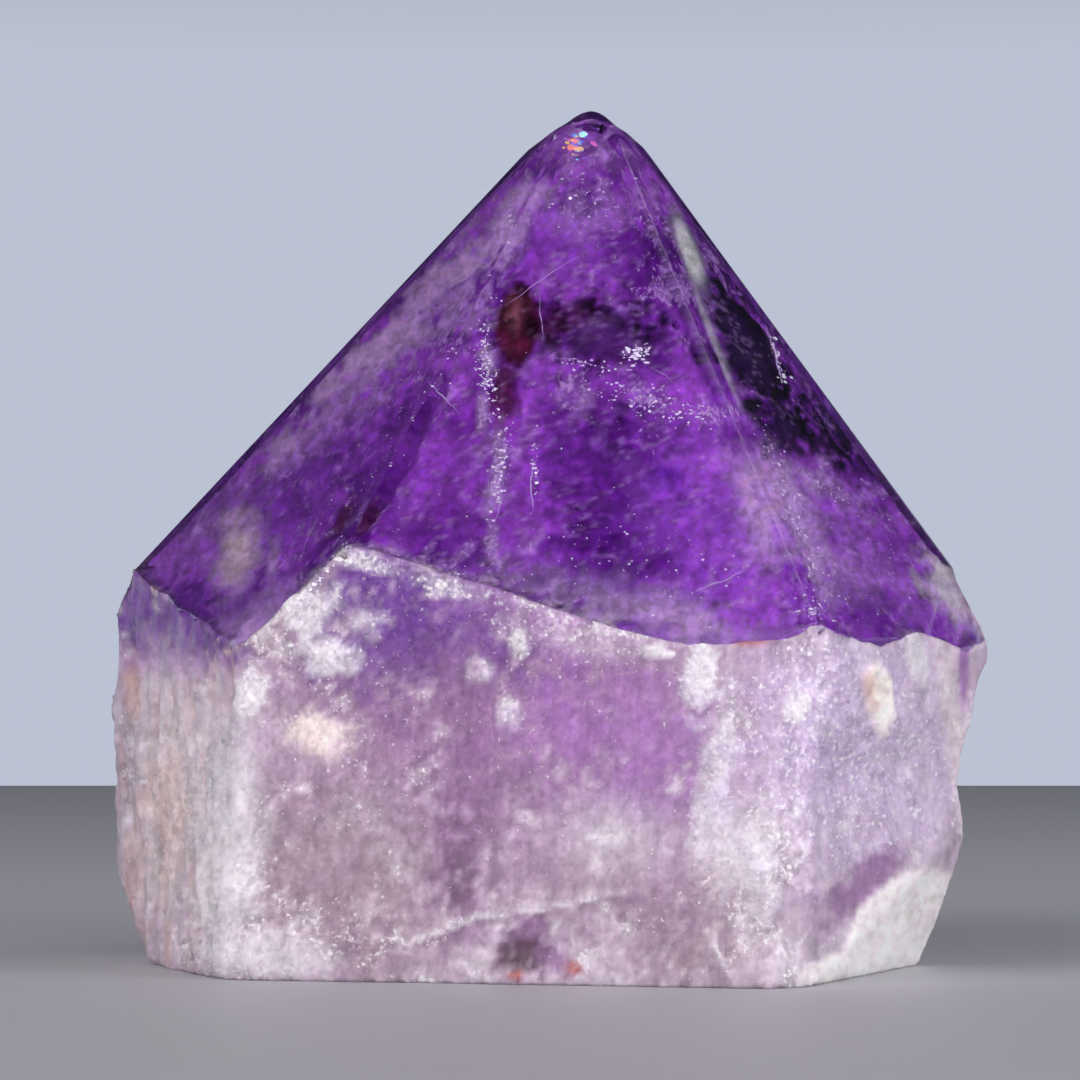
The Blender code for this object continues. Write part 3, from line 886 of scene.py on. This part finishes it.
# Grains, then surface: what the frosty grain group and the shader are given, by socket.
SIDE_GRAIN = {"Mottling": 0.24, "Tilt": 1.1, "Streaks": 0.08}
SIDE_SURFACE = {
    "Roughness": 0.33,
    "Specular IOR Level": 0.5,
    "Subsurface Weight": 0.5,
    "Subsurface Radius": (1.0, 0.7, 1.1),
    "Subsurface Scale": MM,
}
CLOUD_GRAIN = {"Mottling": 0.5, "Tilt": 0.8, "Streaks": 0.0}
CLOUD_SURFACE = {"Roughness": 0.45, "Specular IOR Level": 0.2}


def frosty_material(name, group, grain_colour, grain, surface):
    """Cloudy quartz, coloured by its points."""
    material, tree, shader = new_material(name)
    given = {
        "Colour": add_node(tree, "ShaderNodeAttribute", {"attribute_name": "stone_colour"}).outputs["Color"],
        "Frost": add_node(tree, "ShaderNodeAttribute", {"attribute_name": "frost"}).outputs["Fac"],
        "Grain colour": (*grain_colour, 1.0),
        **grain,
    }
    grainy = add_node(tree, "ShaderNodeGroup", {"node_tree": group}, given).outputs
    look = {"Base Color": grainy["Colour"], "Normal": grainy["Normal"], "IOR": QUARTZ_IOR, **surface}
    feed(tree, shader, look)
    return material


def clear_material(glass, tint):
    """See-through quartz, which takes up light as it passes."""
    material, tree, shader = new_material("clear violet quartz")
    look = {
        "Base Color": (1.0, 0.98, 1.0, 1.0),
        "Roughness": 0.02,
        "IOR": QUARTZ_IOR,
        "Transmission Weight": 1.0,
    }
    feed(tree, shader, look)
    inside = add_node(tree, "ShaderNodeVolumeAbsorption", None, {"Color": (*glass, 1.0), "Density": tint})
    tree.links.new(inside.outputs["Volume"], tree.nodes["Material Output"].inputs["Volume"])
    return material


def inside_facet(x, z, depth, facets):
    """The point at a depth under a polished facet that is seen at a place in the front view."""
    sight = (Vector((x, 0.0, z)) * MM - EYE).normalized()
    hits = []
    for *normal, offset in facets:
        facing = Vector(normal).dot(sight)
        if facing < 0:
            hits.append(((offset - Vector(normal).dot(EYE)) / facing, normal))
    reach, normal = max(hits)
    way = Vector(bend(np.array(sight), np.array(normal)))
    return EYE + sight * reach + way * (depth * MM / -way.dot(Vector(normal)))


def flaw_material_with_painted_glow():
    """What the cracks and the flakes are made of. It gives a little light of its own, a painted glow that
    stands in for the glints they catch.
    """
    material, tree, shader = new_material("bright flaw")
    colour = add_node(tree, "ShaderNodeAttribute", {"attribute_name": "flaw_colour"}).outputs["Color"]
    where = add_node(tree, "ShaderNodeTexCoord").outputs["Object"]
    shade = mixed(tree, noise_value(tree, where, 5000.0, 2.0), colour, (0.7, 0.6, 0.9, 1.0), "MULTIPLY")
    look = {
        "Base Color": shade,
        # painted glow: the flaws give light of their own, standing in for glints
        "Emission Color": colour,
        "Emission Strength": 0.35,
        "Roughness": 0.18,
        "IOR": 1.9,
    }
    feed(tree, shader, look)
    return material


def broken_route(path, draw):
    """A path with more points along it, each a little off the straight line, as a healed crack runs."""
    route = []
    for (x, z), (next_x, next_z) in zip(path, path[1:]):
        for step in range(CRACK_STEPS):
            share = step / CRACK_STEPS
            across = blend(x, next_x, share) + draw.gauss(0.0, CRACK_WOBBLE)
            up = blend(z, next_z, share) + draw.gauss(0.0, CRACK_WOBBLE)
            route.append((across, up))
    return [*route, path[-1]]


class AMETHYST_OT_bright_flaws(bpy.types.Operator):
    """Makes the bright cracks and the small flakes that glint inside the stone, partly by a painted glow"""

    bl_idname = "amethyst.bright_flaws"
    bl_label = "Cracks and flakes"

    def execute(self, context):
        colours = context.scene.amethyst_colours
        sizes = context.scene.amethyst_sizes
        facets = ground_facets()
        material = flaw_material_with_painted_glow()
        cracks = self.cracks(facets, colours.crack, sizes.crack_scale)
        flakes = self.flakes(facets, colours.spark, sizes.flake_scale)
        for piece in (cracks, flakes):
            piece.data.materials.append(material)
            belongs(piece)
        return {"FINISHED"}

    def cracks(self, facets, colour, scale):
        draw = random.Random(3)
        curve = bpy.data.curves.new("cracks", "CURVE")
        curve.dimensions = "3D"
        curve.bevel_depth = scale * MM
        curve.bevel_resolution = 1
        curve.use_fill_caps = True
        for crack in CRACKS:
            route = broken_route(crack.path, draw)
            spline = curve.splines.new("NURBS")
            spline.points.add(len(route) - 1)
            for number, (point, (x, z)) in enumerate(zip(spline.points, route)):
                point.co = (*inside_facet(x, z, crack.depth, facets), 1.0)
                taper = math.sin(math.pi * (number + 0.3) / (len(route) - 0.4))
                point.radius = crack.thick * taper * draw.uniform(0.35, 1.25)
            spline.use_endpoint_u = True
            spline.order_u = 3
            spline.resolution_u = 3
        piece = bpy.data.objects.new("cracks", curve)
        bpy.context.scene.collection.objects.link(piece)
        make_active(piece)
        bpy.ops.object.convert(target="MESH")
        piece = bpy.context.view_layer.objects.active
        keep_colour(piece.data, "flaw_colour", np.tile(tuple(colour), (len(piece.data.vertices), 1)))
        return piece

    def flakes(self, facets, colour, scale):
        deselect_all()
        bpy.ops.mesh.primitive_circle_add(vertices=FLAKE_SIDES, radius=1.0, fill_type="NGON")
        piece = bpy.context.object
        piece.name = "flakes"
        finish_modifier(piece, "SOLIDIFY", thickness=0.25, offset=0.0)
        shape = read_vectors(piece.data, "co")
        faces = [tuple(face.vertices) for face in piece.data.polygons]
        rainbow = [colorsys.hsv_to_rgb(hue, 0.75, 1.0) for hue in RAINBOW_HUES]
        draw = random.Random(7)
        points = []
        every_face = []
        colours = []
        for cluster in CLUSTERS:
            lean = math.radians(cluster.turn)
            for _ in range(cluster.count):
                across = draw.gauss(0.0, 0.5) * cluster.wide
                up = draw.gauss(0.0, 0.5) * cluster.tall
                x = cluster.x + across * math.cos(lean) - up * math.sin(lean)
                z = cluster.z + across * math.sin(lean) + up * math.cos(lean)
                middle = inside_facet(x, z, draw.uniform(*FLAKE_DEPTHS), facets)
                spin = Vector([draw.gauss(0.0, 1.0) for _ in range(3)]).to_track_quat("Z", "Y").to_matrix()
                size = cluster.size * draw.uniform(0.4, 1.3) * scale * MM
                stretch = np.array((1.0, draw.uniform(0.3, 1.0), 0.5))
                every_face += [tuple(len(points) + corner for corner in face) for face in faces]
                corners = (shape * stretch * size) @ np.array(spin).T + np.array(middle)
                points += [tuple(corner) for corner in corners]
                colours += [draw.choice(rainbow) if cluster.rainbow else tuple(colour)] * len(shape)
        mesh = bpy.data.meshes.new("flakes")
        mesh.from_pydata(points, [], every_face)
        piece.data = mesh
        keep_colour(mesh, "flaw_colour", np.array(colours))
        return piece


class AMETHYST_OT_cloudy_body(bpy.types.Operator):
    """Makes the cloudy quartz: the natural sides, the base and the clouds under the facets"""

    bl_idname = "amethyst.cloudy_body"
    bl_label = "Cloudy body"

    def execute(self, context):
        colours = context.scene.amethyst_colours
        sizes = context.scene.amethyst_sizes
        palette = {name: np.array(getattr(colours, name)) for name in colours.__annotations__}
        piece = copy_of_solid("cloudy_body")
        finish_modifier(piece, "REMESH", mode="VOXEL", voxel_size=sizes.grid, use_smooth_shade=True)
        under = shape_cloudy_body(piece, palette, sizes.least_depth)
        group = frost_group()
        for look in (
            ("frosted natural side", group, colours.white, SIDE_GRAIN, SIDE_SURFACE),
            ("clouds in the quartz", group, colours.lilac, CLOUD_GRAIN, CLOUD_SURFACE),
        ):
            piece.data.materials.append(frosty_material(*look))
        for face in piece.data.polygons:
            face.material_index = int(min(under[list(face.vertices)]) > 0.5)
        belongs(piece)
        return {"FINISHED"}


class AMETHYST_OT_clear_point(bpy.types.Operator):
    """Makes the clear violet quartz that the six facets are ground in"""

    bl_idname = "amethyst.clear_point"
    bl_label = "Clear point"

    def execute(self, context):
        sizes = context.scene.amethyst_sizes
        piece = copy_of_solid("clear_point")
        facets = ground_facets()
        points = read_vectors(piece.data, "co")
        height = (points @ facets[:, :3].T - facets[:, 3]).max(axis=1) / MM
        off_facets = smooth_step(*BELOW_FACETS, -height) * (points[:, 2] < TIP_FOOT * MM)
        towards = unit_rows(np.array(HEART) - points)
        set_points(piece.data, points + towards * (off_facets * sizes.side_inset)[:, None])
        make_active(piece)
        bpy.ops.object.shade_smooth_by_angle(angle=SMOOTH_ANGLE)
        finish_modifier(piece, "WEIGHTED_NORMAL", keep_sharp=True, weight=100)
        piece.data.materials.append(clear_material(context.scene.amethyst_colours.glass, sizes.tint))
        belongs(piece)
        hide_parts(NODE)
        return {"FINISHED"}


LAMPS = (  # name, place and width in metres, power in watts, colour
    ("key", (-0.38, -0.42, 0.34), 0.34, 2.1, (1.0, 0.97, 0.95)),
    ("fill", (0.48, -0.35, 0.15), 0.34, 2.0, (1.0, 1.0, 1.0)),
    ("top", (0.30, 0.0, 0.48), 0.30, 0.3, (1.0, 1.0, 1.0)),
)
LAMP_AIM = Vector((0.0, 0.0, 0.03))
FLOOR_SIZE = (2.4, 1.9)
FLOOR_MIDDLE = (0.0, -0.23, -0.00002)
DARK_ROOM = (0.035, 0.035, 0.045, 1.0)  # the upper part of the room, which darkens the polished facets
WINDOW_LIGHT = (1.15, 1.12, 1.15, 1.0)  # the side of the room behind the camera


def area_light(name, place, width, power, colour):
    bpy.ops.object.light_add(type="AREA", location=place)
    lamp = bpy.context.object
    lamp.name = name
    lamp.data.size = width
    lamp.data.energy = power
    lamp.data.color = colour
    lamp.rotation_euler = (LAMP_AIM - Vector(place)).to_track_quat("-Z", "Y").to_euler()


def plain_floor(shade):
    """A flat floor of one colour, which belongs to the stage and not to the stone."""
    deselect_all()
    bpy.ops.mesh.primitive_plane_add(size=1.0)
    floor = bpy.context.object
    floor.name = "floor"
    floor.scale = (*FLOOR_SIZE, 1.0)
    floor.location = FLOOR_MIDDLE
    bpy.ops.object.transform_apply(location=True, rotation=False, scale=True)
    material, tree, shader = new_material("floor")
    feed(tree, shader, {"Base Color": (*shade, 1.0), "Roughness": 0.5})
    floor.data.materials.append(material)


def soft_daylight(wall_shade):
    """A pale room, dark above and bright behind the camera."""
    world = bpy.data.worlds.new("soft daylight")
    world.use_nodes = True
    tree = world.node_tree
    sight = add_node(tree, "ShaderNodeTexCoord").outputs["Generated"]
    axes = add_node(tree, "ShaderNodeSeparateXYZ", None, {0: sight}).outputs
    wall = mixed(tree, ramp(tree, axes["Z"], 0.16, 0.34), (*wall_shade, 1.0), DARK_ROOM)
    light = mixed(tree, ramp(tree, axes["Y"], -0.45, -0.85), wall, WINDOW_LIGHT)
    tree.links.new(light, tree.nodes["Background"].inputs["Color"])
    bpy.context.scene.world = world


def front_camera():
    """The camera, with a long lens."""
    bpy.ops.object.camera_add(location=EYE, rotation=(math.radians(90 + EYE_PITCH), 0, 0))
    camera = bpy.context.object
    camera.name = "camera"
    camera.data.lens = 135.0
    camera.data.sensor_width = 36.0
    camera.data.clip_start = 0.01
    camera.data.clip_end = 10.0
    bpy.context.scene.camera = camera
    bpy.context.scene.view_settings.view_transform = "Standard"


class AMETHYST_OT_stage(bpy.types.Operator):
    """Makes the floor, the soft lights and the camera"""

    bl_idname = "amethyst.stage"
    bl_label = "Stage"

    def execute(self, context):
        stage = context.scene.amethyst_stage
        plain_floor(stage.floor)
        soft_daylight(stage.wall)
        for name, place, width, power, tint in LAMPS:
            area_light(name, place, width, power * stage.light, tint)
        front_camera()
        return {"FINISHED"}


class AMETHYST_PT_point(bpy.types.Panel):
    """Lists the settings and the steps of the amethyst point"""

    bl_label = "Amethyst point"
    bl_space_type = "VIEW_3D"
    bl_region_type = "UI"
    bl_category = "Amethyst"

    def draw(self, context):
        for step in STEPS:
            self.layout.operator(step.bl_idname)
        for title, group in (
            ("Sizes", context.scene.amethyst_sizes),
            ("Colours", context.scene.amethyst_colours),
            ("Stage", context.scene.amethyst_stage),
        ):
            box = self.layout.box()
            box.label(text=title)
            for name in group.__annotations__:
                box.prop(group, name)


STEPS = (AMETHYST_OT_cloudy_body, AMETHYST_OT_clear_point, AMETHYST_OT_bright_flaws, AMETHYST_OT_stage)
GROUPS = (AMETHYST_PG_colours, AMETHYST_PG_sizes, AMETHYST_PG_stage)
CLASSES = (*GROUPS, *STEPS, AMETHYST_PT_point)


def register():
    for item in CLASSES:
        bpy.utils.register_class(item)
    bpy.types.Scene.amethyst_colours = bpy.props.PointerProperty(type=AMETHYST_PG_colours)
    bpy.types.Scene.amethyst_sizes = bpy.props.PointerProperty(type=AMETHYST_PG_sizes)
    bpy.types.Scene.amethyst_stage = bpy.props.PointerProperty(type=AMETHYST_PG_stage)


def unregister():
    del bpy.types.Scene.amethyst_stage
    del bpy.types.Scene.amethyst_sizes
    del bpy.types.Scene.amethyst_colours
    for item in reversed(CLASSES):
        bpy.utils.unregister_class(item)


def main():
    register()
    bpy.ops.amethyst.cloudy_body()
    bpy.ops.amethyst.clear_point()
    bpy.ops.amethyst.bright_flaws()
    bpy.ops.amethyst.stage()


if __name__ == "__main__":
    main()
